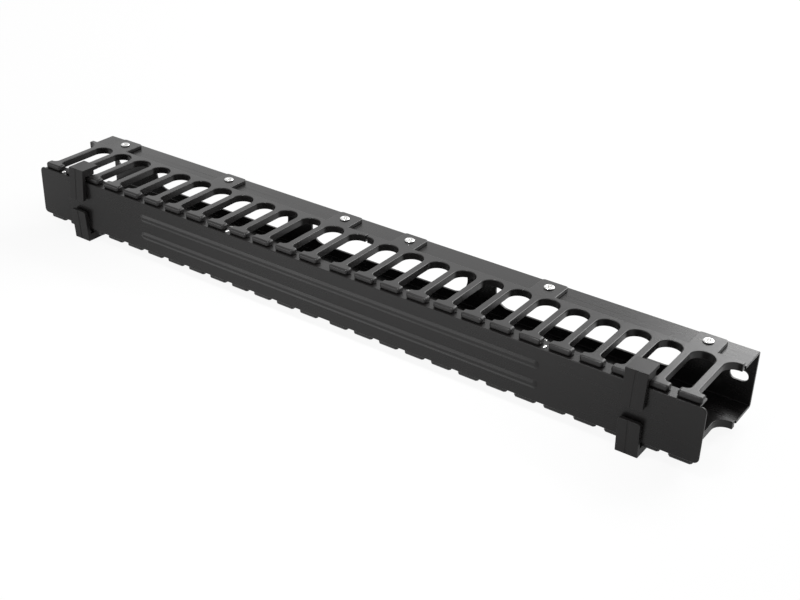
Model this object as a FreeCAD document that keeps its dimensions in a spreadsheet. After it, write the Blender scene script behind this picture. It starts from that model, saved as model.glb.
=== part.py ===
# Horizontal cable manager for a 19-inch rack, one rack unit, with moulded finger modules
# above and below a folded channel and a clip-on front cover.
# Frame: X along the rack width, front towards -Y, +Z up. The origin is the middle of the
# rack-hole pattern on the rear face of the channel's web. Lengths in millimetres.
import FreeCAD, Part
import Sketcher
import math
import os
from types import SimpleNamespace

SIZES = {
    # back channel: folded steel sheet, open to the front
    "overall_length": 482.6,
    "channel_height": 35.5,
    "channel_depth": 20.0,
    "sheet_thickness": 1.5,
    "bend_radius": 0.5,
    # oval rack holes, one at each end
    "rack_hole_inset": 8.75,
    "rack_slot_length": 10.5,
    "rack_slot_height": 6.5,
    # cable windows in the web
    "window_count": 3,
    "window_bridge": 20.0,
    "window_end_margin": 41.3,
    "window_height": 20.2,
    # finger modules: moulded combs, two end to end above and two below
    "module_gap": 1.3,
    "module_end_inset": 0.65,
    "strip_clearance": 0.1,
    "strip_width": 3.2,
    "plastic_rise": 2.5,
    "finger_count": 13,
    "finger_end_margin": 10.6,
    "finger_width": 4.2,
    "finger_thickness": 4.6,
    "finger_reach": 66.5,
    "head_gap": 4.6,
    "head_depth": 5.0,
    "head_fillet": 3.0,
    "head_corner": 1.2,
    "head_chamfer": 0.9,
    "lip_seat_depth": 1.3,
    # riveted tabs behind each module
    "tab_width": 17.0,
    "tab_back": 4.4,
    "tab_corner": 2.0,
    # blind rivets through tab and flange
    "rivet_count": 3,
    "rivet_end_margin": 23.9,
    "rivet_line": 12.5,
    "rivet_shank": 3.2,
    "rivet_clearance": 0.05,
    "rivet_head": 6.5,
    "rivet_head_height": 1.1,
    "rivet_head_top": 3.6,
    "rivet_dimple": 1.8,
    "rivet_dimple_depth": 0.7,
    "rivet_tail": 4.8,
    "rivet_tail_length": 2.2,
    # front cover: shallow folded tray whose lips run under the heads
    "cover_inset": 0.7,
    "cover_thickness": 1.0,
    "cover_corner": 3.0,
    "cover_edge": 0.4,
    "cover_gap": 0.8,
    "lip_inset": 4.0,
    "lip_overlap": 2.7,
    "lip_clearance": 0.3,
    # pressed ribs in the cover
    "rib_inset": 93.4,
    "rib_width": 5.2,
    "rib_height": 0.8,
    "rib_slope": 1.8,
    "rib_foot": 0.1,
    "rib_spacing": 12.3,
    # cover clips, one pair near each end
    "clip_slot": 2,
    "clip_width": 12.8,
    "clip_clearance": 0.3,
    "clip_arm_thickness": 4.95,
    "clip_overhang": 0.9,
    "clip_tail": 3.6,
    "clip_tail_thickness": 2.4,
    "clip_leg": 2.0,
    "clip_foot": 6.65,
    "clip_flare": 1.6,
    "clip_tab_thickness": 2.2,
    "clip_parting": 7.6,
    "clip_corner": 1.5,
    "clip_edge": 0.5,
    "clip_groove_width": 1.6,
    "clip_groove_depth": 0.25,
    # small bright studs on the upper lip, between the heads
    "stud_inset": 1.5,
    "stud_diameter": 2.6,
    "stud_height": 0.9,
    "stud_bevel": 0.4,
}


class Size:
    """A length and the sheet expression that drives it."""

    def __init__(self, number, text):
        self.number = number
        self.text = text

    def __add__(self, other):
        other = as_size(other)
        return Size(self.number + other.number, "(%s + %s)" % (self.text, other.text))

    def __sub__(self, other):
        other = as_size(other)
        return Size(self.number - other.number, "(%s - %s)" % (self.text, other.text))

    def __mul__(self, other):
        other = as_size(other)
        return Size(self.number * other.number, "(%s * %s)" % (self.text, other.text))

    def __truediv__(self, other):
        other = as_size(other)
        return Size(self.number / other.number, "(%s / %s)" % (self.text, other.text))

    def __neg__(self):
        return Size(-self.number, "(-1 * %s)" % self.text)


def as_size(value):
    return value if isinstance(value, Size) else Size(value, repr(value))


doc = FreeCAD.newDocument("cable_manager")
sheet = doc.addObject("Spreadsheet::Sheet", "sizes")
v = SimpleNamespace()
for row, (alias, value) in enumerate(SIZES.items(), start=1):
    sheet.set("A%d" % row, alias)
    sheet.set("B%d" % row, str(value))
    sheet.setAlias("B%d" % row, alias)
    setattr(v, alias, Size(value, "sizes." + alias))
doc.recompute()


def bind(target, prop, size):
    target.setExpression(prop, as_size(size).text)


def make_body(label, x, y, z, lower=False):
    """A body placed in the object's frame; a lower one is turned half a turn about Y."""
    body = doc.addObject("PartDesign::Body", label)
    body.Label = label
    turn = FreeCAD.Rotation(FreeCAD.Vector(0, 1, 0), 180 if lower else 0)
    body.Placement = FreeCAD.Placement(FreeCAD.Vector(0, 0, 0), turn)
    bind(body, "Placement.Base.x", x)
    bind(body, "Placement.Base.y", y)
    bind(body, "Placement.Base.z", z)
    return body


def make_sketch(body, name, plane, lift=None):
    sketch = body.newObject("Sketcher::SketchObject", name)
    origin = [o for o in body.Origin.OriginFeatures if o.Role == plane][0]
    sketch.AttachmentSupport = [(origin, "")]
    sketch.MapMode = "FlatFace"
    if lift is not None:
        bind(sketch, "AttachmentOffset.Base.z", lift)
    return sketch


def place_point(sketch, geometry, point, axis, size):
    """Dimension a point's x or y from the sketch origin."""
    size = as_size(size)
    if abs(size.number) < 1e-9:
        line = -2 if axis == "x" else -1
        sketch.addConstraint(Sketcher.Constraint("PointOnObject", geometry, point, line))
        return
    kind = "DistanceX" if axis == "x" else "DistanceY"
    if size.number > 0:
        constraint = Sketcher.Constraint(kind, -1, 1, geometry, point, size.number)
    else:
        size = -size
        constraint = Sketcher.Constraint(kind, geometry, point, -1, 1, size.number)
    index = sketch.addConstraint(constraint)
    sketch.setExpression("Constraints[%d]" % index, size.text)


def draw_outline(sketch, edges):
    """Draw a closed outline of upright ("x") and level ("y") edges.

    Each edge is (kind, place, corner, size). The corner joins it to the next edge: "sharp",
    "round" with a radius, or "cap", a half circle between parallel edges with its centre.
    """
    count = len(edges)
    starts = [None] * count
    ends = [None] * count
    for i, (kind, place, corner, size) in enumerate(edges):
        j = (i + 1) % count
        here, there = place.number, edges[j][1].number
        if corner == "cap":
            centre = size.number
            ends[i] = (here, centre) if kind == "x" else (centre, here)
            starts[j] = (there, centre) if kind == "x" else (centre, there)
        else:
            ends[i] = (here, there) if kind == "x" else (there, here)
            starts[j] = ends[i]
    ways = []
    for start, end in zip(starts, ends):
        span = math.hypot(end[0] - start[0], end[1] - start[1])
        ways.append(((end[0] - start[0]) / span, (end[1] - start[1]) / span))
    arcs = []
    for i, (kind, place, corner, size) in enumerate(edges):
        j = (i + 1) % count
        if corner == "round":
            radius = size.number
            before, after, tip = ways[i], ways[j], ends[i]
            ends[i] = (tip[0] - radius * before[0], tip[1] - radius * before[1])
            starts[j] = (tip[0] + radius * after[0], tip[1] + radius * after[1])
            middle = (ends[i][0] + radius * after[0], ends[i][1] + radius * after[1])
            arcs.append((i, j, middle, radius))
        elif corner == "cap":
            middle = ((ends[i][0] + starts[j][0]) / 2, (ends[i][1] + starts[j][1]) / 2)
            arcs.append((i, j, middle, math.dist(ends[i], starts[j]) / 2))
    first = sketch.GeometryCount
    for (kind, place, corner, size), start, end in zip(edges, starts, ends):
        line = Part.LineSegment(FreeCAD.Vector(*start, 0), FreeCAD.Vector(*end, 0))
        index = sketch.addGeometry(line, False)
        level = "Vertical" if kind == "x" else "Horizontal"
        sketch.addConstraint(Sketcher.Constraint(level, index))
    for i, j, middle, radius in arcs:
        circle = Part.Circle(FreeCAD.Vector(*middle, 0), FreeCAD.Vector(0, 0, 1), radius)
        across = (starts[j][0] - ends[i][0], starts[j][1] - ends[i][1])
        left = ways[i][0] * across[1] - ways[i][1] * across[0] > 0
        points = (ends[i], starts[j]) if left else (starts[j], ends[i])
        begin, stop = [math.atan2(p[1] - middle[1], p[0] - middle[0]) for p in points]
        index = sketch.addGeometry(Part.ArcOfCircle(circle, begin, stop), False)
        near, far = (1, 2) if left else (2, 1)
        sketch.addConstraint(Sketcher.Constraint("Tangent", first + i, 2, index, near))
        sketch.addConstraint(Sketcher.Constraint("Tangent", index, far, first + j, 1))
        if edges[i][2] == "round":
            datum = sketch.addConstraint(Sketcher.Constraint("Radius", index, radius))
            sketch.setExpression("Constraints[%d]" % datum, edges[i][3].text)
        else:
            place_point(sketch, index, 3, "y" if edges[i][0] == "x" else "x", edges[i][3])
    for i, (kind, place, corner, size) in enumerate(edges):
        if corner == "sharp":
            j = (i + 1) % count
            sketch.addConstraint(Sketcher.Constraint("Coincident", first + i, 2, first + j, 1))
        place_point(sketch, first + i, 1, kind, place)


def draw_polygon(sketch, points):
    """Draw a closed polygon; every corner carries its own two sizes."""
    count = len(points)
    for i, (x, y) in enumerate(points):
        start = FreeCAD.Vector(x.number, y.number, 0)
        next_x, next_y = points[(i + 1) % count]
        end = FreeCAD.Vector(next_x.number, next_y.number, 0)
        sketch.addGeometry(Part.LineSegment(start, end), False)
    for i, (x, y) in enumerate(points):
        sketch.addConstraint(Sketcher.Constraint("Coincident", i, 2, (i + 1) % count, 1))
        place_point(sketch, i, 1, "x", x)
        place_point(sketch, i, 1, "y", y)


def rectangle(left, right, low, high):
    return [("x", right, "sharp", None), ("y", high, "sharp", None),
            ("x", left, "sharp", None), ("y", low, "sharp", None)]


def obround(x, length, height, y):
    """Edges of a level slot with half-round ends, its middle at x, y."""
    reach = length / 2 - height / 2
    return [("y", y - height / 2, "cap", x + reach), ("y", y + height / 2, "cap", x - reach)]


def add_pad(body, name, sketch, length, symmetric=False, backwards=False):
    pad = body.newObject("PartDesign::Pad", name)
    pad.Profile = sketch
    pad.SideType = "Symmetric" if symmetric else "One side"
    pad.Reversed = backwards
    bind(pad, "Length", length)
    return pad


def add_pocket(body, name, sketch, length=None, backwards=False):
    """A pocket of the given depth, or right through both ways where none is given."""
    pocket = body.newObject("PartDesign::Pocket", name)
    pocket.Profile = sketch
    if length is None:
        pocket.Type = "ThroughAll"
        pocket.SideType = "Symmetric"
    else:
        pocket.Reversed = backwards
        bind(pocket, "Length", length)
    return pocket


def add_pattern(body, name, originals, sketch, count, spacing):
    pattern = body.newObject("PartDesign::LinearPattern", name)
    pattern.Originals = originals
    pattern.Direction = (sketch, ["H_Axis"])
    pattern.Mode = "Spacing"
    bind(pattern, "Offset", spacing)
    bind(pattern, "Occurrences", count)
    body.Tip = pattern
    return pattern


def add_mirror(body, name, originals, plane):
    mirror = body.newObject("PartDesign::Mirrored", name)
    mirror.Originals = originals
    origin = [o for o in body.Origin.OriginFeatures if o.Role == plane][0]
    mirror.MirrorPlane = (origin, [""])
    body.Tip = mirror
    return mirror


def dress(body, kind, name, base, size, wanted, other=None):
    """A "Fillet" or "Chamfer" of that size on the edges of the base that pass the test.

    With another size a chamfer is uneven.
    """
    doc.recompute()
    names = []
    for number, edge in enumerate(base.Shape.Edges, start=1):
        if wanted(edge):
            names.append("Edge%d" % number)
    feature = body.newObject("PartDesign::" + kind, name)
    feature.Base = (base, names)
    bind(feature, "Radius" if kind == "Fillet" else "Size", size)
    if other is not None:
        feature.ChamferType = "Two distances"
        bind(feature, "Size2", other)
    return feature


def lies_at(edge, axis, size):
    """Whether both ends of the edge have that coordinate."""
    return all(abs(getattr(w.Point, axis) - size.number) < 1e-4 for w in edge.Vertexes)


# Back channel: C section folded from 1.5 mm sheet, flanges to the front, three long windows.
def back_channel():
    body = make_body("back_channel", 0, 0, 0)
    half = v.channel_height / 2
    inner = v.bend_radius
    outer = v.bend_radius + v.sheet_thickness
    section = make_sketch(body, "channel_section", "YZ_Plane")
    draw_outline(section, [
        ("y", half, "round", outer),
        ("x", as_size(0), "round", outer),
        ("y", -half, "sharp", None),
        ("x", -v.channel_depth, "sharp", None),
        ("y", v.sheet_thickness - half, "round", inner),
        ("x", -v.sheet_thickness, "round", inner),
        ("y", half - v.sheet_thickness, "sharp", None),
        ("x", -v.channel_depth, "sharp", None),
    ])
    add_pad(body, "channel_fold", section, v.overall_length, symmetric=True)
    window = make_sketch(body, "window_outline", "XZ_Plane")
    room = v.overall_length - v.window_end_margin * 2
    length = (room + v.window_bridge) / v.window_count - v.window_bridge
    first = (length - room) / 2
    draw_outline(window, obround(first, length, v.window_height, as_size(0)))
    cut = add_pocket(body, "window_cut", window)
    add_pattern(body, "windows", [cut], window, v.window_count, length + v.window_bridge)
    slot = make_sketch(body, "rack_slot_outline", "XZ_Plane")
    draw_outline(slot, obround(v.rack_hole_inset - v.overall_length / 2, v.rack_slot_length,
                               v.rack_slot_height, as_size(0)))
    cut = add_pocket(body, "rack_slot_cut", slot)
    add_mirror(body, "rack_slots", [cut], "YZ_Plane")
    hole = make_sketch(body, "rivet_hole_outline", "XY_Plane")
    for side in (-1, 1):
        x = module_centre * side - rivet_span
        index = hole.addGeometry(Part.Circle(FreeCAD.Vector(x.number, -v.rivet_line.number, 0),
                                             FreeCAD.Vector(0, 0, 1), rivet_hole.number), False)
        datum = hole.addConstraint(Sketcher.Constraint("Radius", index, rivet_hole.number))
        hole.setExpression("Constraints[%d]" % datum, rivet_hole.text)
        place_point(hole, index, 3, "x", x)
        place_point(hole, index, 3, "y", -v.rivet_line)
    cut = add_pocket(body, "rivet_hole_cut", hole)
    add_pattern(body, "rivet_holes", [cut], hole, v.rivet_count, rivet_pitch)
    return body


# Finger module: one moulded comb. Its own frame has X along the module from its middle, the
# web's rear face at Y = 0 and the flange's outer face at Z = 0.
def finger_module(label, side, lower):
    height = v.channel_height / 2
    body = make_body(label, module_centre * side, 0, -height if lower else height, lower)
    half = module_length / 2
    heads = (finger_pitch * v.finger_count - v.head_gap) / 2
    comb = make_sketch(body, label + "_comb_outline", "XY_Plane", v.plastic_rise)
    draw_outline(comb, [
        ("x", half, "sharp", None),
        ("y", -(v.channel_depth + v.strip_clearance), "sharp", None),
        ("x", -half, "sharp", None),
        ("y", -slot_centre, "sharp", None),
        ("x", -heads, "sharp", None),
        ("y", -v.finger_reach, "sharp", None),
        ("x", heads, "sharp", None),
        ("y", -slot_centre, "sharp", None),
    ])
    add_pad(body, label + "_plate", comb, v.finger_thickness, backwards=True)
    seat = make_sketch(body, label + "_lip_seat_outline", "XY_Plane",
                       v.plastic_rise - v.finger_thickness)
    seat_end = v.head_depth + v.lip_overlap + v.lip_clearance - v.finger_reach
    draw_outline(seat, rectangle(-half, half, -v.finger_reach, seat_end))
    add_pocket(body, label + "_lip_seat", seat, v.lip_seat_depth, backwards=True)
    tab = make_sketch(body, label + "_tab_outline", "XY_Plane")
    draw_outline(tab, [
        ("x", v.tab_width / 2 - rivet_span, "round", v.tab_corner),
        ("y", -v.tab_back, "round", v.tab_corner),
        ("x", -(v.tab_width / 2) - rivet_span, "sharp", None),
        ("y", -(slot_centre - slot_half), "sharp", None),
    ])
    tab_pad = add_pad(body, label + "_tab", tab, v.plastic_rise)
    hole = make_sketch(body, label + "_rivet_hole_outline", "XY_Plane")
    centre = FreeCAD.Vector(-rivet_span.number, -v.rivet_line.number, 0)
    index = hole.addGeometry(Part.Circle(centre, FreeCAD.Vector(0, 0, 1), rivet_hole.number), False)
    datum = hole.addConstraint(Sketcher.Constraint("Radius", index, rivet_hole.number))
    hole.setExpression("Constraints[%d]" % datum, rivet_hole.text)
    place_point(hole, index, 3, "x", -rivet_span)
    place_point(hole, index, 3, "y", -v.rivet_line)
    hole_cut = add_pocket(body, label + "_rivet_hole", hole)
    add_pattern(body, label + "_tabs", [tab_pad, hole_cut], tab, v.rivet_count, rivet_pitch)
    first = -(finger_pitch * v.finger_count / 2)
    neck = v.head_gap / 2
    throat = v.head_depth - v.finger_reach
    slot = make_sketch(body, label + "_slot_outline", "XY_Plane")
    draw_outline(slot, [
        ("x", first - slot_half, "round", v.head_fillet),
        ("y", throat, "sharp", None),
        ("x", first - neck, "sharp", None),
        ("y", -v.finger_reach, "sharp", None),
        ("x", first + neck, "sharp", None),
        ("y", throat, "round", v.head_fillet),
        ("x", first + slot_half, "cap", -slot_centre),
    ])
    slot_cut = add_pocket(body, label + "_slot", slot)
    slots = add_pattern(body, label + "_slots", [slot_cut], slot, v.finger_count + 1, finger_pitch)
    corners = dress(body, "Chamfer", label + "_head_corners", slots, v.head_corner,
                    lambda e: lies_at(e, "y", -v.finger_reach) and abs(e.tangentAt(0).z) > 0.9)
    dress(body, "Chamfer", label + "_head_bevels", corners, v.head_chamfer,
          lambda e: lies_at(e, "z", v.plastic_rise) and e.BoundBox.YMax < throat.number + 1e-4
          and e.BoundBox.YMin < throat.number - 1e-4)
    return body


# Blind rivet: low coned head with the mandrel dimple, shank through tab and flange, set tail.
# Its own frame has the head's seat at Z = 0.
def rivet(label, side, place, lower):
    x = module_centre * side + rivet_pitch * place - rivet_span
    seat = v.channel_height / 2 + v.plastic_rise
    body = make_body(label, x, -v.rivet_line, -seat if lower else seat, lower)
    grip = v.plastic_rise + v.sheet_thickness
    head, shank, tail = v.rivet_head / 2, v.rivet_shank / 2, v.rivet_tail / 2
    end = -(grip + v.rivet_tail_length)
    profile = make_sketch(body, label + "_profile", "XZ_Plane")
    draw_polygon(profile, [
        (as_size(0), v.rivet_head_height - v.rivet_dimple_depth),
        (v.rivet_dimple / 2, v.rivet_head_height),
        (v.rivet_head_top / 2, v.rivet_head_height),
        (head, as_size(0)),
        (shank, as_size(0)),
        (shank, -grip),
        (tail, -grip),
        (tail, end),
        (as_size(0), end),
    ])
    turn = body.newObject("PartDesign::Revolution", label + "_turned")
    turn.Profile = profile
    turn.ReferenceAxis = (profile, ["V_Axis"])
    turn.Angle = 360
    return body


# Cover: flat front with rounded corners, a lip folded back along the top and the bottom, and
# two pressed ribs. Its own frame has the plate's rear face at Y = 0.
def cover_panel():
    body = make_body("cover_panel", 0, -(v.finger_reach + v.cover_gap), 0)
    outline = make_sketch(body, "cover_outline", "XZ_Plane")
    half = cover_length / 2
    draw_outline(outline, [
        ("x", half, "round", v.cover_corner),
        ("y", cover_half, "round", v.cover_corner),
        ("x", -half, "round", v.cover_corner),
        ("y", -cover_half, "round", v.cover_corner),
    ])
    plate = add_pad(body, "cover_plate", outline, v.cover_thickness)
    dress(body, "Chamfer", "cover_edge_bevel", plate, v.cover_edge,
          lambda e: lies_at(e, "y", -v.cover_thickness))
    lip = make_sketch(body, "lip_outline", "XZ_Plane")
    draw_outline(lip, rectangle(v.lip_inset - half, half - v.lip_inset,
                                cover_half - v.cover_thickness, cover_half))
    lip_depth = v.cover_gap + v.head_depth + v.lip_overlap
    lip_pad = add_pad(body, "lip_fold", lip, lip_depth, backwards=True)
    add_mirror(body, "lips", [lip_pad], "XY_Plane")
    rib_length = cover_length - v.rib_inset * 2
    rib = make_sketch(body, "rib_outline", "XZ_Plane", v.cover_thickness)
    draw_outline(rib, obround(as_size(0), rib_length, v.rib_width, v.rib_spacing / 2))
    rib_pad = add_pad(body, "rib_face", rib, v.rib_height)
    hollow = make_sketch(body, "rib_hollow_outline", "XZ_Plane")
    draw_outline(hollow, obround(as_size(0), rib_length - v.cover_thickness * 2,
                                 v.rib_width - v.cover_thickness * 2, v.rib_spacing / 2))
    hollow_cut = add_pocket(body, "rib_hollow", hollow, v.rib_height, backwards=True)
    ribs = add_mirror(body, "ribs", [rib_pad, hollow_cut], "XY_Plane")
    dress(body, "Chamfer", "rib_slopes", ribs, v.rib_height - v.rib_foot,
          lambda e: lies_at(e, "y", -(v.cover_thickness + v.rib_height)), v.rib_slope)
    return body


# Clip: arm over the finger heads, leg down the cover's face and a flared finger tab. Its own
# frame has the cover's front face at Y = 0 and the channel's middle at Z = 0.
def clip(label, side, lower):
    inset = (v.finger_count - 1) / 2 - v.clip_slot + 0.5
    x = (module_centre + finger_pitch * inset) * side
    face = v.finger_reach + v.cover_gap + v.cover_thickness
    body = make_body(label, x, -face, 0, lower)
    under = v.channel_height / 2 + v.plastic_rise + v.clip_clearance
    top = under + v.clip_arm_thickness
    heel = v.cover_gap + v.cover_thickness + v.head_depth + v.clip_overhang
    front = -(v.clip_leg + v.clip_flare)
    profile = make_sketch(body, label + "_profile", "YZ_Plane")
    draw_polygon(profile, [
        (-v.clip_leg, top),
        (heel + v.clip_tail, top),
        (heel + v.clip_tail, top - v.clip_tail_thickness),
        (heel, top - v.clip_tail_thickness),
        (heel, under),
        (as_size(0), under),
        (as_size(0), cover_half - v.clip_foot),
        (front + v.clip_tab_thickness, v.clip_parting / 2),
        (front, v.clip_parting / 2),
    ])
    blank = add_pad(body, label + "_blank", profile, v.clip_width, symmetric=True)
    across = v.clip_width.number
    corners = dress(body, "Fillet", label + "_tab_corners", blank, v.clip_corner,
                    lambda e: lies_at(e, "z", v.clip_parting / 2) and e.Length < across)
    dress(body, "Fillet", label + "_brow", corners, v.clip_edge,
          lambda e: lies_at(e, "z", top) and lies_at(e, "y", -v.clip_leg))
    groove = make_sketch(body, label + "_groove_profile", "YZ_Plane")
    draw_polygon(groove, [
        (v.clip_groove_depth - v.clip_leg, top),
        (v.clip_groove_depth + front, v.clip_parting / 2),
        (front - v.clip_leg, v.clip_parting / 2),
        (front - v.clip_leg, top),
    ])
    cut = body.newObject("PartDesign::Pocket", label + "_groove")
    cut.Profile = groove
    cut.SideType = "Symmetric"
    bind(cut, "Length", v.clip_groove_width)
    return body


# Stud: small bright head on the upper lip. It stands in the gap between two finger heads.
def lip_stud(label, side, slot):
    inset = (v.finger_count - 1) / 2 - slot + 0.5
    x = (module_centre + finger_pitch * inset) * side
    body = make_body(label, x, v.stud_inset - v.finger_reach, cover_half)
    profile = make_sketch(body, label + "_profile", "XZ_Plane")
    radius = v.stud_diameter / 2
    draw_polygon(profile, [
        (as_size(0), v.stud_height),
        (radius - v.stud_bevel, v.stud_height),
        (radius, v.stud_height - v.stud_bevel),
        (radius, as_size(0)),
        (as_size(0), as_size(0)),
    ])
    turn = body.newObject("PartDesign::Revolution", label + "_turned")
    turn.Profile = profile
    turn.ReferenceAxis = (profile, ["V_Axis"])
    turn.Angle = 360
    return body


# Sizes and places that follow from the sheet and that several pieces share.
module_length = (v.overall_length - v.module_gap) / 2 - v.module_end_inset
module_centre = module_length / 2 + v.module_gap / 2
finger_pitch = (module_length - v.finger_end_margin * 2) / (v.finger_count - 1)
slot_half = (finger_pitch - v.finger_width) / 2
slot_centre = v.channel_depth + v.strip_clearance + v.strip_width + slot_half
rivet_span = module_length / 2 - v.rivet_end_margin
rivet_pitch = rivet_span * 2 / (v.rivet_count - 1)
rivet_hole = v.rivet_shank / 2 + v.rivet_clearance
cover_length = v.overall_length - v.cover_inset * 2
head_seat = v.channel_height / 2 + v.plastic_rise - v.finger_thickness + v.lip_seat_depth
cover_half = head_seat - v.lip_clearance

pieces = [back_channel()]
for level, lower in (("upper", False), ("lower", True)):
    pieces.append(finger_module("module_%s_left" % level, -1, lower))
    pieces.append(finger_module("module_%s_right" % level, 1, lower))
    number = 0
    for side in (-1, 1):
        for place in range(SIZES["rivet_count"]):
            number = number + 1
            pieces.append(rivet("rivet_%s_%d" % (level, number), side, place, lower))
pieces.append(cover_panel())
for level, lower in (("upper", False), ("lower", True)):
    pieces.append(clip("clip_%s_left" % level, -1, lower))
    pieces.append(clip("clip_%s_right" % level, 1, lower))
pieces.append(lip_stud("lip_stud_1", -1, 1))
pieces.append(lip_stud("lip_stud_2", -1, 9))
pieces.append(lip_stud("lip_stud_3", 1, 5))
doc.recompute()

for item in doc.Objects:
    if "Invalid" in item.State or "Error" in item.State:
        raise RuntimeError("%s did not build: %s" % (item.Name, item.State))
    if item.isDerivedFrom("Sketcher::SketchObject") and not item.FullyConstrained:
        raise RuntimeError("%s is not fully constrained" % item.Name)
for piece in pieces:
    if piece.Shape.isNull() or not piece.Shape.isValid() or len(piece.Shape.Solids) != 1:
        raise RuntimeError("%s is not one valid solid" % piece.Label)

os.makedirs("parts", exist_ok=True)
for piece in pieces:
    piece.Shape.exportStep("parts/%s.step" % piece.Label)
    print(piece.Label, round(piece.Shape.Volume, 1))
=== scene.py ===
# Horizontal cable manager for a 19-inch rack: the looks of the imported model, in metres.
# The origin is the middle of the rack-hole pattern, +X along the rack, -Y the front, +Z up.
import math

import bmesh
import bpy
from mathutils import Matrix, Vector


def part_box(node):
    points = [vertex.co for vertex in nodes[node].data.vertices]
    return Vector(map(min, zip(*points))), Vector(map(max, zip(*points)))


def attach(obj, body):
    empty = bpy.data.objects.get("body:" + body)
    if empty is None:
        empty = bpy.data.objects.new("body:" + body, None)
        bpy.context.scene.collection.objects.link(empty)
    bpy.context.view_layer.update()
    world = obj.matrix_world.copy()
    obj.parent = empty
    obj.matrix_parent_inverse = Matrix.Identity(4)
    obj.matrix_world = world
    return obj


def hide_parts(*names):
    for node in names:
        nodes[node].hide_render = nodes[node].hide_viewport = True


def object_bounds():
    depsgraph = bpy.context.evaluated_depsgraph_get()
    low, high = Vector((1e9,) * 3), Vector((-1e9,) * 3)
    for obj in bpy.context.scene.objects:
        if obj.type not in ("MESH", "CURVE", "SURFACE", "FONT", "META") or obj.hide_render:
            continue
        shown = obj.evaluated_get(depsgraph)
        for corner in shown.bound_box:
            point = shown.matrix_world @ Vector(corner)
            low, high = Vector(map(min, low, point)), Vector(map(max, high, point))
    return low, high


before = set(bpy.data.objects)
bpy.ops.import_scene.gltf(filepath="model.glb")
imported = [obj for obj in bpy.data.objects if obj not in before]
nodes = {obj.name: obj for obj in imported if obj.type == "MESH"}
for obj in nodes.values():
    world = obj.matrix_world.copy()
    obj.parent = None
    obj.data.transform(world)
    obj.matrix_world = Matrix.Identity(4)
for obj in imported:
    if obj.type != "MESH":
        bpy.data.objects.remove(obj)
cad_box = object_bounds()
scene = bpy.context.scene
scene.view_settings.view_transform = "Standard"

# ---------------------------------------------------------------------------------------
# Studio: white paper under the part and white all round. A strong softbox behind on the
# right is caught by the top faces' right end, weak ones behind on the left and in front
# fill the rest, and a soft spot from above lights the paper that shines through the slots.
# ---------------------------------------------------------------------------------------


def colour(code):
    """An sRGB hex colour as linear red, green, blue and alpha."""
    parts = [int(code[i:i + 2], 16) / 255 for i in (1, 3, 5)]
    linear = [c / 12.92 if c <= 0.04045 else ((c + 0.055) / 1.055) ** 2.4 for c in parts]
    return (*linear, 1.0)


def add(tree, kind, inputs=None, **settings):
    """Adds a node; an input is given a value or, where it is a socket, a link."""
    made = tree.nodes.new(kind)
    for name, value in settings.items():
        setattr(made, name, value)
    for name, value in (inputs or {}).items():
        if isinstance(value, bpy.types.NodeSocket):
            tree.links.new(value, made.inputs[name])
        else:
            made.inputs[name].default_value = value
    return made


def new_material(name):
    """A material with an empty node tree, and that tree."""
    material = bpy.data.materials.new(name)
    material.use_nodes = True
    material.node_tree.nodes.clear()
    return material, material.node_tree


def bare_rays(tree):
    """1 for what the camera sees itself, in gloss or through glass, and 0 for other light."""
    path = add(tree, "ShaderNodeLightPath")
    seen = add(tree, "ShaderNodeMath", {0: path.outputs["Is Camera Ray"],
                                        1: path.outputs["Is Glossy Ray"]}, operation="MAXIMUM")
    seen = add(tree, "ShaderNodeMath", {0: seen.outputs[0],
                                        1: path.outputs["Is Transmission Ray"]},
               operation="MAXIMUM")
    return seen.outputs[0]


# The camera looks down along the part from its right front, with a slight roll.
camera_place = Vector((0.4085, -0.5804, 0.3607))
camera_aim = Vector((0.0342, -0.035, -0.0073))
camera_roll = Matrix.Rotation(math.radians(1.66), 3, "Z")
camera_data = bpy.data.cameras.new("camera")
camera_data.sensor_width = 36.0
camera_data.lens = 57.13
camera = bpy.data.objects.new("camera", camera_data)
scene.collection.objects.link(camera)
camera.location = camera_place
line_of_sight = (camera_aim - camera_place).to_track_quat("-Z", "Y").to_matrix()
camera.rotation_euler = (line_of_sight @ camera_roll).to_euler()
scene.camera = camera

# The white room shows as white and lights the part a little less than that.
room_light = 0.55
world = bpy.data.worlds.new("studio")
scene.world = world
world.use_nodes = True
tree = world.node_tree
tree.nodes.clear()
strength = add(tree, "ShaderNodeMapRange", {"Value": bare_rays(tree), "To Min": room_light,
                                            "To Max": 1.0})
sky = add(tree, "ShaderNodeBackground", {"Color": colour("#ffffff"),
                                         "Strength": strength.outputs["Result"]})
add(tree, "ShaderNodeOutputWorld", {"Surface": sky.outputs["Background"]})

# Matt paper sheet that keeps the part's shadow. The share of plain white in it is high for
# the camera and low in gloss, where the lit paper itself shows.
white_in_gloss, white_in_view = 0.35, 0.9
bpy.ops.mesh.primitive_plane_add(size=6.0, location=(0, 0, cad_box[0].z))
floor = bpy.context.object
floor.name = "floor"
paper, tree = new_material("white_paper_sweep")
matt = add(tree, "ShaderNodeBsdfDiffuse", {"Color": colour("#f2f2f2")})
glow = add(tree, "ShaderNodeEmission", {"Color": colour("#ffffff"), "Strength": 1.0})
camera_ray = add(tree, "ShaderNodeLightPath").outputs["Is Camera Ray"]
whiter = add(tree, "ShaderNodeMapRange", {"Value": camera_ray, "To Min": white_in_gloss,
                                          "To Max": white_in_view})
share = add(tree, "ShaderNodeMath", {0: bare_rays(tree), 1: whiter.outputs["Result"]},
            operation="MULTIPLY")
mixed = add(tree, "ShaderNodeMixShader", {"Fac": share.outputs[0], 1: matt.outputs[0],
                                          2: glow.outputs[0]})
add(tree, "ShaderNodeOutputMaterial", {"Surface": mixed.outputs[0]})
floor.data.materials.append(paper)


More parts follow.
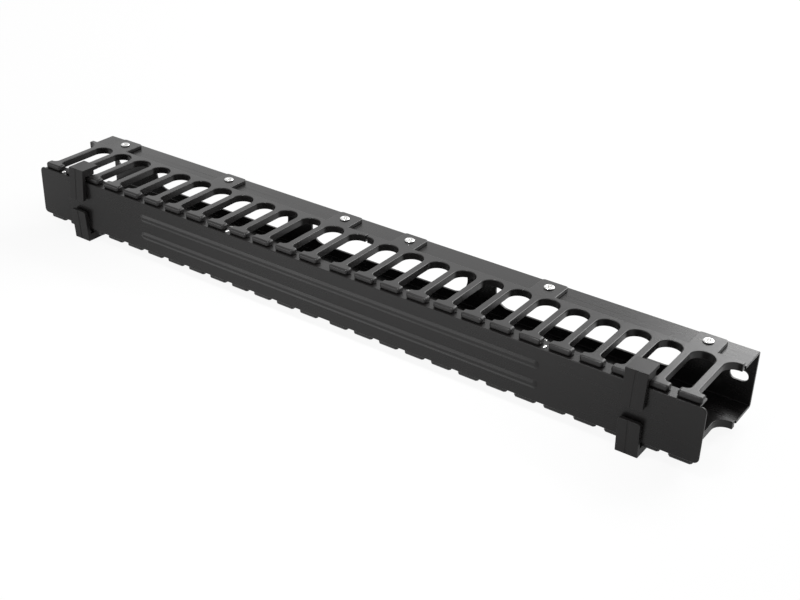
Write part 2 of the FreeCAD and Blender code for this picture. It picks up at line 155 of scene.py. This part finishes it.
def lamp(name, kind, place, aim_at, watts, **settings):
    """Hangs a lamp at a place, turned towards a point."""
    data = bpy.data.lights.new(name, kind)
    data.energy = watts
    for setting, value in settings.items():
        setattr(data, setting, value)
    hung = bpy.data.objects.new(name, data)
    scene.collection.objects.link(hung)
    hung.location = place
    direction = Vector(aim_at) - Vector(place)
    hung.rotation_euler = direction.to_track_quat("-Z", "Y").to_euler()


lamp("back_right_softbox", "AREA", (0.42, 1.1, 0.74), (0.42, 0.0, 0.0), 23.0,
     shape="RECTANGLE", size=1.2, size_y=0.9)
lamp("back_left_softbox", "AREA", (-0.97, 1.1, 0.7), (-0.6, 0.0, 0.0), 2.0,
     shape="RECTANGLE", size=1.5, size_y=0.9)
lamp("front_softbox", "AREA", (-0.9, -1.35, 0.35), (0.0, 0.0, 0.0), 5.0,
     shape="RECTANGLE", size=1.0, size_y=0.6)
lamp("paper_spot", "SPOT", (0.02, -0.3, 0.65), (0.02, -0.12, -0.025), 17.0,
     spot_size=math.radians(42), spot_blend=1.0, shadow_soft_size=0.06)

# ---------------------------------------------------------------------------------------
# Back channel: 1.5 mm steel sheet folded to a C, with punched windows and rack holes. A
# fine matt black powder coat is baked on; it has a faint orange peel and lies a little
# thinner and shinier in places.
# ---------------------------------------------------------------------------------------
MM = 0.001


def round_edges(node, radius, sharp=35, clamp=False):
    """Rounds the edges sharper than an angle and keeps the flats flat, all as modifiers."""
    weld = node.modifiers.new("weld", "WELD")
    weld.merge_threshold = 0.002 * MM
    flat = node.modifiers.new("flat_faces", "DECIMATE")
    flat.decimate_type = "DISSOLVE"
    flat.angle_limit = math.radians(1)
    bevel = node.modifiers.new("edge_round", "BEVEL")
    bevel.width = radius
    bevel.segments = 3
    bevel.use_clamp_overlap = clamp
    bevel.limit_method = "ANGLE"
    bevel.angle_limit = math.radians(sharp)
    normals = node.modifiers.new("even_normals", "WEIGHTED_NORMAL")
    normals.weight = 80


def finish(node, material):
    """Gives a CAD node its finish."""
    node.data.materials.clear()
    node.data.materials.append(material)


# Powder sprayed dry and baked: it flows out to a soft orange peel 1.6 mm apart. The powder's
# own grit, under 0.1 mm, is drawn at 0.35 mm so that it shows. The sheet's rolling lines
# run along the part, and with 30 mm clouds they make the gloss uneven.
powder, tree = new_material("matt_black_powder_coat")
place = add(tree, "ShaderNodeTexCoord").outputs["Object"]
peel = add(tree, "ShaderNodeTexNoise", {"Vector": place, "Scale": 1 / (1.6 * MM),
                                        "Detail": 2.0, "Roughness": 0.5})
grit = add(tree, "ShaderNodeTexNoise", {"Vector": place, "Scale": 1 / (0.35 * MM),
                                        "Detail": 2.0})
cloud = add(tree, "ShaderNodeTexNoise", {"Vector": place, "Scale": 1 / (30 * MM),
                                         "Detail": 3.0})
along = add(tree, "ShaderNodeMapping", {"Vector": place, "Scale": (0.02, 1.0, 1.0)})
rolled = add(tree, "ShaderNodeTexNoise", {"Vector": along.outputs["Vector"],
                                          "Scale": 1 / (1.2 * MM), "Detail": 3.0})
mottle = add(tree, "ShaderNodeMath", {0: cloud.outputs["Fac"], 1: rolled.outputs["Fac"]})
tint = add(tree, "ShaderNodeMix", {"Factor": grit.outputs["Fac"], 6: colour("#0f0e0e"),
                                   7: colour("#1a1919")}, data_type="RGBA")
rough = add(tree, "ShaderNodeMapRange", {"Value": mottle.outputs[0], "From Min": 0.7,
                                         "From Max": 1.3, "To Min": 0.25, "To Max": 0.33})
waves = add(tree, "ShaderNodeBump", {"Height": peel.outputs["Fac"], "Strength": 1.0,
                                     "Distance": 0.009 * MM})
bump = add(tree, "ShaderNodeBump", {"Height": grit.outputs["Fac"], "Strength": 1.0,
                                    "Distance": 0.007 * MM,
                                    "Normal": waves.outputs["Normal"]})
coat = add(tree, "ShaderNodeBsdfPrincipled", {"Base Color": tint.outputs[2],
                                              "Roughness": rough.outputs["Result"],
                                              "Specular IOR Level": 0.26,
                                              "Normal": bump.outputs["Normal"]})
add(tree, "ShaderNodeOutputMaterial", {"Surface": coat.outputs[0]})

finish(nodes["back_channel"], powder)
round_edges(nodes["back_channel"], 0.2 * MM)

# ---------------------------------------------------------------------------------------
# Finger modules: four combs injection-moulded in black plastic, each riveted to a flange.
# The mould's spark-eroded grain makes them satin, with soft flow marks and gently rounded
# edges.
# ---------------------------------------------------------------------------------------


def moulded(name, specular, shine):
    """Black moulded plastic; shine is its lowest roughness."""
    # The mould's eroded grain, about 0.1 mm, is drawn at 0.45 mm so that it shows. The flow
    # of the plastic leaves 14 mm patches of slightly different black and gloss.
    material, tree = new_material(name)
    place = add(tree, "ShaderNodeTexCoord").outputs["Object"]
    grain = add(tree, "ShaderNodeTexNoise", {"Vector": place, "Scale": 1 / (0.45 * MM),
                                             "Detail": 3.0})
    flow = add(tree, "ShaderNodeTexNoise", {"Vector": place, "Scale": 1 / (14 * MM),
                                            "Detail": 2.0, "Distortion": 0.6})
    tint = add(tree, "ShaderNodeMix", {"Factor": flow.outputs["Fac"], 6: colour("#131212"),
                                       7: colour("#1c1b1b")}, data_type="RGBA")
    rough = add(tree, "ShaderNodeMapRange", {"Value": flow.outputs["Fac"], "From Min": 0.3,
                                             "From Max": 0.7, "To Min": shine,
                                             "To Max": shine + 0.09})
    bump = add(tree, "ShaderNodeBump", {"Height": grain.outputs["Fac"], "Strength": 1.0,
                                        "Distance": 0.014 * MM})
    skin = add(tree, "ShaderNodeBsdfPrincipled", {"Base Color": tint.outputs[2],
                                                  "Roughness": rough.outputs["Result"],
                                                  "Specular IOR Level": specular,
                                                  "Normal": bump.outputs["Normal"]})
    add(tree, "ShaderNodeOutputMaterial", {"Surface": skin.outputs[0]})
    return material


satin_plastic = moulded("satin_moulded_plastic", specular=0.32, shine=0.26)
for name, node in nodes.items():
    if name.startswith("module_"):
        finish(node, satin_plastic)
        round_edges(node, 0.5 * MM)

# ---------------------------------------------------------------------------------------
# Rivets: aluminium blind rivets through tab and flange, three to a module. The domed head
# keeps the stub of the steel mandrel in its dimple, and the tail is pulled to a bulb.
# ---------------------------------------------------------------------------------------


def turned(name, profile, segments=48):
    """A piece turned about Z from radius and height pairs in mm, top to bottom."""
    mesh = bpy.data.meshes.new(name)
    shape = bmesh.new()
    corners = [shape.verts.new((r * MM, 0, z * MM)) for r, z in profile]
    for upper, lower in zip(corners, corners[1:]):
        shape.edges.new((upper, lower))
    bmesh.ops.spin(shape, geom=shape.verts[:] + shape.edges[:], cent=(0, 0, 0),
                   axis=(0, 0, 1), angle=math.tau, steps=segments)
    bmesh.ops.remove_doubles(shape, verts=shape.verts[:], dist=0.001 * MM)
    bmesh.ops.dissolve_degenerate(shape, edges=shape.edges[:], dist=0.001 * MM)
    bmesh.ops.recalc_face_normals(shape, faces=shape.faces[:])
    for face in shape.faces:
        face.smooth = True
    shape.to_mesh(mesh)
    shape.free()
    made = bpy.data.objects.new(name, mesh)
    scene.collection.objects.link(made)
    return made


def scatter_tree():
    """Stands a part on every point, along the point's own axis and turned at random."""
    tree = bpy.data.node_groups.new("stand_on_seats", "GeometryNodeTree")
    tree.is_modifier = True
    sockets = tree.interface
    sockets.new_socket("Geometry", in_out="INPUT", socket_type="NodeSocketGeometry")
    sockets.new_socket("Part", in_out="INPUT", socket_type="NodeSocketObject")
    sockets.new_socket("Finish", in_out="INPUT", socket_type="NodeSocketMaterial")
    sockets.new_socket("Largest Turn", in_out="INPUT", socket_type="NodeSocketFloat")
    sockets.new_socket("Seed", in_out="INPUT", socket_type="NodeSocketInt")
    sockets.new_socket("Geometry", in_out="OUTPUT", socket_type="NodeSocketGeometry")
    given = add(tree, "NodeGroupInput").outputs
    part = add(tree, "GeometryNodeObjectInfo", {"Object": given["Part"]})
    axis = add(tree, "GeometryNodeInputNamedAttribute", {"Name": "seat_axis"},
               data_type="FLOAT_VECTOR")
    upright = add(tree, "FunctionNodeAlignRotationToVector",
                  {"Vector": axis.outputs["Attribute"]}, axis="Z")
    turn = add(tree, "FunctionNodeRandomValue", {3: given["Largest Turn"],
                                                 "Seed": given["Seed"]}, data_type="FLOAT")
    spin = add(tree, "ShaderNodeCombineXYZ", {"Z": turn.outputs[1]})
    facing = add(tree, "FunctionNodeRotateRotation", {"Rotation": upright.outputs["Rotation"],
                                                      "Rotate By": spin.outputs[0]},
                 rotation_space="LOCAL")
    stood = add(tree, "GeometryNodeInstanceOnPoints",
                {"Points": given["Geometry"], "Instance": part.outputs["Geometry"],
                 "Rotation": facing.outputs["Rotation"]})
    real = add(tree, "GeometryNodeRealizeInstances", {"Geometry": stood.outputs["Instances"]})
    done = add(tree, "GeometryNodeSetMaterial", {"Geometry": real.outputs["Geometry"],
                                                 "Material": given["Finish"]})
    add(tree, "NodeGroupOutput", {"Geometry": done.outputs["Geometry"]})
    return tree


seat_tree = scatter_tree()


def stand_on(name, part, material, seats, seed):
    """One mesh of the part standing on all the seats, each a point and an up direction."""
    points = bpy.data.meshes.new(name + "_seats")
    points.from_pydata([place for place, up in seats], [], [])
    axes = points.attributes.new("seat_axis", "FLOAT_VECTOR", "POINT")
    for slot, (place, up) in zip(axes.data, seats):
        slot.vector = up
    carrier = bpy.data.objects.new(name + "_seats", points)
    scene.collection.objects.link(carrier)
    modifier = carrier.modifiers.new("stand_on_seats", "NODES")
    modifier.node_group = seat_tree
    values = {"Part": part, "Finish": material, "Largest Turn": math.tau, "Seed": seed}
    for item in seat_tree.interface.items_tree:
        if item.in_out == "INPUT" and item.name in values:
            modifier[item.identifier] = values[item.name]
    graph = bpy.context.evaluated_depsgraph_get()
    mesh = bpy.data.meshes.new_from_object(carrier.evaluated_get(graph))
    bpy.data.objects.remove(carrier)
    bpy.data.objects.remove(part)
    made = bpy.data.objects.new(name, mesh)
    scene.collection.objects.link(made)
    return made


# Aluminium drawn to shape and tumbled: bright, with faint 0.5 mm dents and dull patches.
bright, tree = new_material("bright_rivet_aluminium")
place = add(tree, "ShaderNodeTexCoord").outputs["Object"]
drawn = add(tree, "ShaderNodeTexNoise", {"Vector": place, "Scale": 1 / (0.5 * MM),
                                         "Detail": 4.0, "Roughness": 0.65})
tone = add(tree, "ShaderNodeMix", {"Factor": drawn.outputs["Fac"], 6: colour("#bdbdbb"),
                                   7: colour("#e2e2e2")}, data_type="RGBA")
rough = add(tree, "ShaderNodeMapRange", {"Value": drawn.outputs["Fac"], "From Min": 0.3,
                                         "From Max": 0.7, "To Min": 0.2, "To Max": 0.34})
dents = add(tree, "ShaderNodeBump", {"Height": drawn.outputs["Fac"], "Strength": 0.4,
                                     "Distance": 0.03 * MM})
metal = add(tree, "ShaderNodeBsdfPrincipled", {"Base Color": tone.outputs[2], "Metallic": 1.0,
                                               "Roughness": rough.outputs["Result"],
                                               "Normal": dents.outputs["Normal"]})
add(tree, "ShaderNodeOutputMaterial", {"Surface": metal.outputs[0]})

# Plain steel wire torn off when the rivet was pulled: a grey, uneven break.
stub, tree = new_material("broken_steel_mandrel")
place = add(tree, "ShaderNodeTexCoord").outputs["Object"]
torn = add(tree, "ShaderNodeTexNoise", {"Vector": place, "Scale": 1 / (0.3 * MM),
                                        "Detail": 3.0})
tone = add(tree, "ShaderNodeMix", {"Factor": torn.outputs["Fac"], 6: colour("#8e8e88"),
                                   7: colour("#c6c6c0")}, data_type="RGBA")
dents = add(tree, "ShaderNodeBump", {"Height": torn.outputs["Fac"], "Strength": 0.8,
                                     "Distance": 0.12 * MM})
metal = add(tree, "ShaderNodeBsdfPrincipled", {"Base Color": tone.outputs[2], "Metallic": 1.0,
                                               "Roughness": 0.4,
                                               "Normal": dents.outputs["Normal"]})
add(tree, "ShaderNodeOutputMaterial", {"Surface": metal.outputs[0]})

# Half sections in mm from the dimple's floor over the domed head, down the shank and round
# the bulb, and of the stem inside. Height 0 is the face that the head sits on.
rivet_head = turned("rivet_head", [
    (0.95, 0.5), (1.0, 0.66), (1.25, 0.82), (1.55, 0.99), (1.85, 1.08), (2.05, 1.1),
    (2.35, 1.05), (2.7, 0.92), (2.95, 0.75), (3.07, 0.6), (3.08, 0.5), (2.98, 0.42),
    (2.7, 0.36), (2.6, 0.0), (1.6, 0.0), (1.6, -4.0), (2.1, -4.0), (2.33, -4.25), (2.4, -4.7),
    (2.3, -5.3), (1.95, -5.9), (1.5, -6.15), (1.1, -6.2), (0.98, -6.1), (0.95, -5.9),
    (0.95, 0.5)])
mandrel = turned("mandrel", [
    (0.0, 0.72), (0.45, 0.75), (0.75, 0.66), (0.88, 0.48), (0.9, -6.0), (0.75, -6.15),
    (0.0, -6.2)], segments=24)
head_height = 1.1 * MM
seats = []
for level, up in (("upper", 1), ("lower", -1)):
    for number in range(1, 7):
        low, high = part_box("rivet_%s_%d" % (level, number))
        top = high.z if up > 0 else low.z
        seat = Vector(((low.x + high.x) / 2, (low.y + high.y) / 2, top - head_height * up))
        seats.append((seat, (0, 0, up)))
rivets = stand_on("blind_rivets", rivet_head, bright, seats, seed=3)
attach(rivets, "frame")
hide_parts(*[name for name in nodes if name.startswith("rivet_")])
stubs = stand_on("rivet_mandrels", mandrel, stub, seats, seed=5)
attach(stubs, "frame")

# ---------------------------------------------------------------------------------------
# Cover: 1 mm steel sheet folded to a shallow tray, with two pressed ribs and a lip above
# and below, in the channel's own coat. Its place for a printed name stays bare.
# ---------------------------------------------------------------------------------------
finish(nodes["cover_panel"], powder)
round_edges(nodes["cover_panel"], 0.3 * MM, sharp=15, clamp=True)

# ---------------------------------------------------------------------------------------
# Clips: four moulded hooks in the modules' black plastic, left a little more matt by their
# own mould. They sit on the cover near its ends and hook over the finger heads.
# ---------------------------------------------------------------------------------------
matt_plastic = moulded("matt_moulded_plastic", specular=0.23, shine=0.34)
for name, node in nodes.items():
    if name.startswith("clip_"):
        finish(node, matt_plastic)
        round_edges(node, 0.13 * MM)

# ---------------------------------------------------------------------------------------
# Lip studs: three small bright domed heads on the cover's upper lip, between finger heads.
# They are of the rivets' aluminium and stand straight up from the sheet.
# ---------------------------------------------------------------------------------------
dome = turned("dome", [(0.0, 0.9), (0.4, 0.87), (0.8, 0.74), (1.1, 0.5), (1.27, 0.2),
                       (1.3, 0.06), (1.28, 0.0), (0.0, 0.0)], segments=32)
seats = []
for number in (1, 2, 3):
    low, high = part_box("lip_stud_%d" % number)
    seats.append((Vector(((low.x + high.x) / 2, (low.y + high.y) / 2, low.z)), (0, 0, 1)))
studs = stand_on("lip_studs", dome, bright, seats, seed=7)
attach(studs, "cover")
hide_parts(*[name for name in nodes if name.startswith("lip_stud_")])
